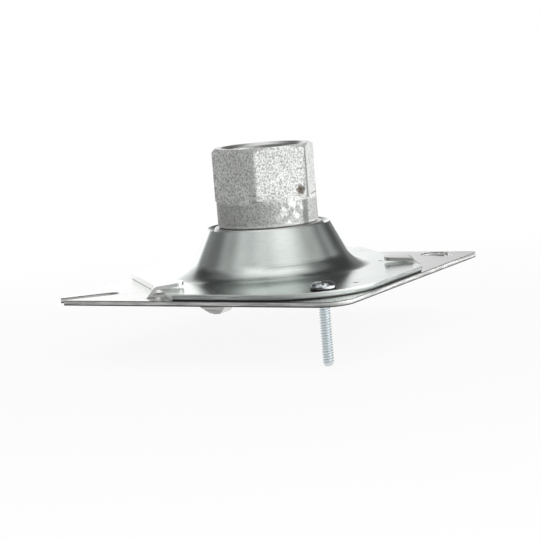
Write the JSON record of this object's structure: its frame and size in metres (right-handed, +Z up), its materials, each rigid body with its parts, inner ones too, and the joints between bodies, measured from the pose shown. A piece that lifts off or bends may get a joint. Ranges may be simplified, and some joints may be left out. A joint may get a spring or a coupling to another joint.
{
  "type": "swivel hanger bracket",
  "caption": "Swivel hanger for a lighting fixture: square box cover, bell canopy held by hooks and a long screw, and a cast hexagon pipe hub that turns and tips in the bell's mouth.",
  "frame": {"origin": "centre of the hub's open end, where the pipe that carries the hanger screws in", "axes": "+Z up out of the hub along its thread, +X along the cover plate's diagonal through its two box-screw slots towards the keyhole slot, the lock screw at -Y"},
  "size_m": [0.1396, 0.1368, 0.0636],
  "materials": {
    "cover_sheet": "bright zinc-plated sheet",
    "canopy_sheet": "satin zinc-plated drawn sheet",
    "cast_hub": "rough sand casting, zinc plated",
    "turned_ring": "smooth turned steel, zinc plated",
    "screw_zinc": "bluish zinc plating"
  },
  "bodies": {
    "hub": {"swivel_hub": "cast_hub", "retaining_ring": "turned_ring"},
    "ball": {"ball_ring": "turned_ring"},
    "plates": {"canopy": "canopy_sheet", "cover_plate": "cover_sheet", "lock_screw": "screw_zinc"}
  },
  "joints": [
    {"name": "ring_turn", "type": "hinge", "parent": "hub", "child": "ball", "pos_m": [0, 0, -0.03736], "axis": [0, 0, 1], "continuous": true},
    {"name": "plate_swing", "type": "hinge", "parent": "ball", "child": "plates", "pos_m": [0, 0, -0.03736], "axis": [1, 0, 0], "range_deg": [-7.5, 7.5]}
  ]
}
